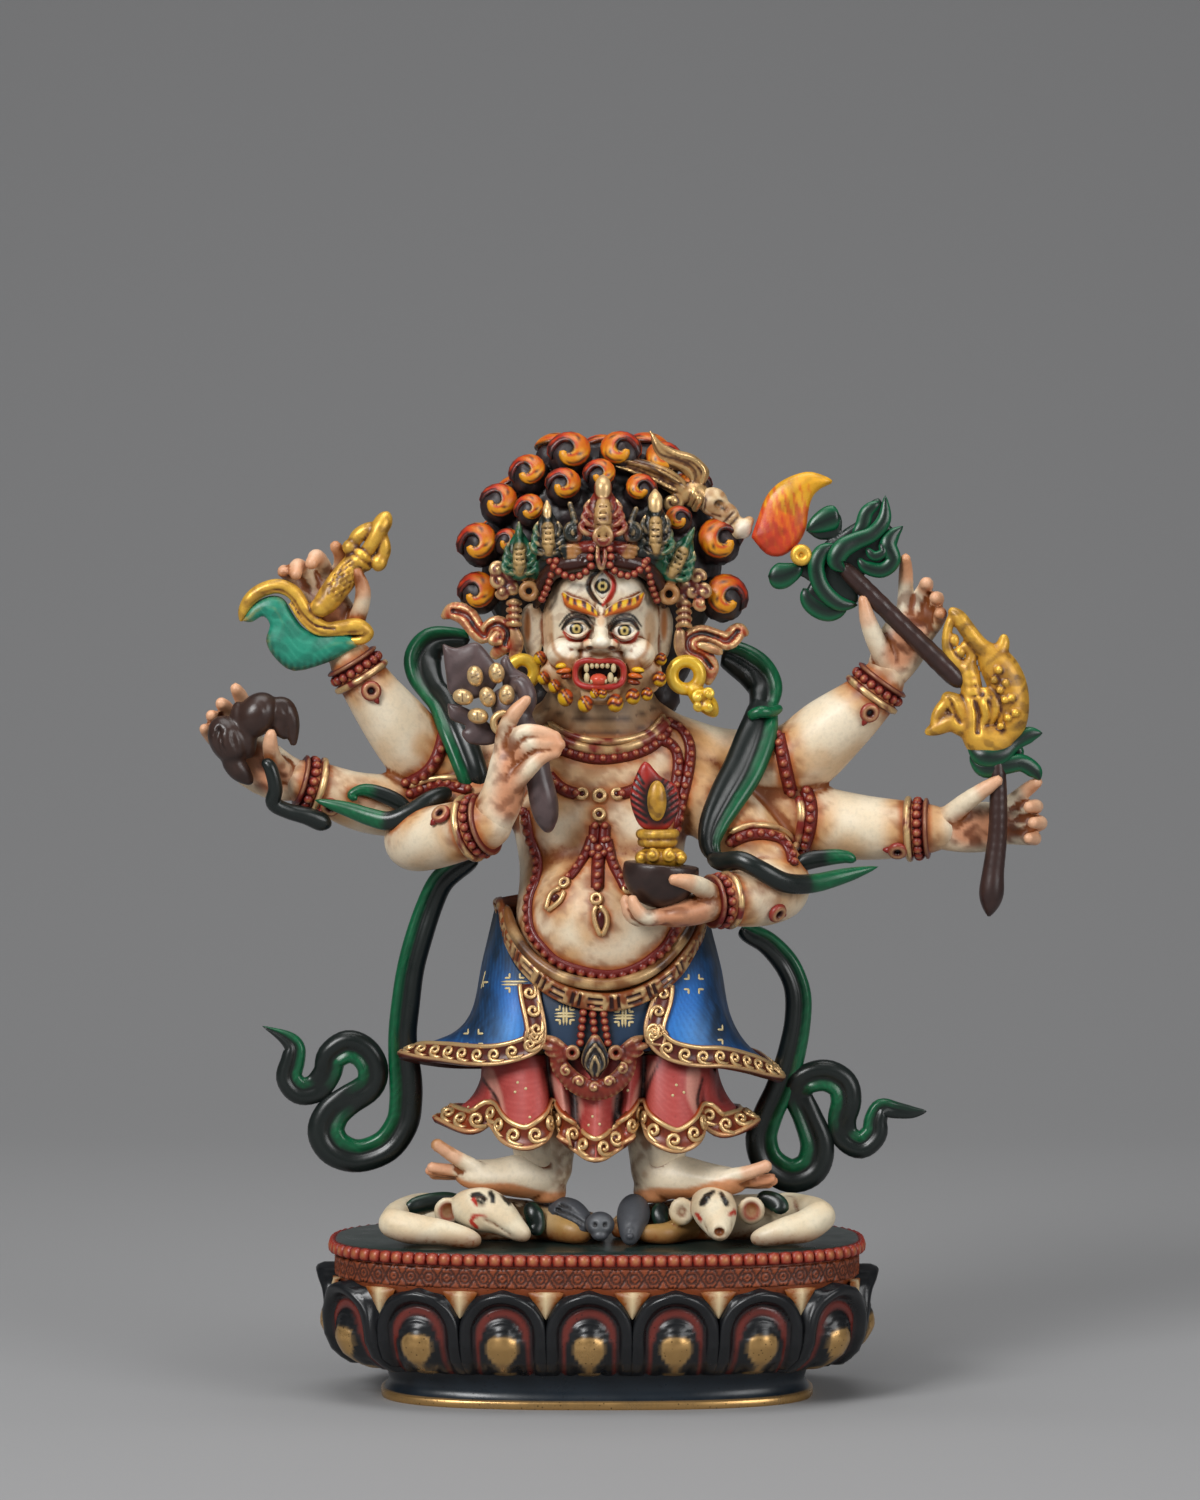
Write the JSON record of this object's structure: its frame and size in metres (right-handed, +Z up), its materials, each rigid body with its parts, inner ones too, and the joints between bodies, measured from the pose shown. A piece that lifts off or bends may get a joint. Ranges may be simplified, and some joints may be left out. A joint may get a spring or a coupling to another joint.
{
  "type": "painted mahakala figure",
  "caption": "Small painted cast figure of the many-armed white Mahakala standing on prone elephant-headed beings on a lotus pedestal.",
  "frame": {"origin": "middle of the pedestal's underside", "axes": "+Z up through the figure, -Y the way the figure faces, +X to the viewer's right"},
  "size_m": [0.0756, 0.0281, 0.0872],
  "materials": {
    "figure_paint": "satin, ivory with painted details and brown wash",
    "prone_paint": "satin, ivory with black, red and green details",
    "pedestal_paint": "satin, black petals with rubbed brass and red"
  },
  "bodies": {
    "root": {"mahakala_figure": "figure_paint", "prone_elephant_pair": "prone_paint", "lotus_pedestal": "pedestal_paint"}
  },
  "joints": []
}
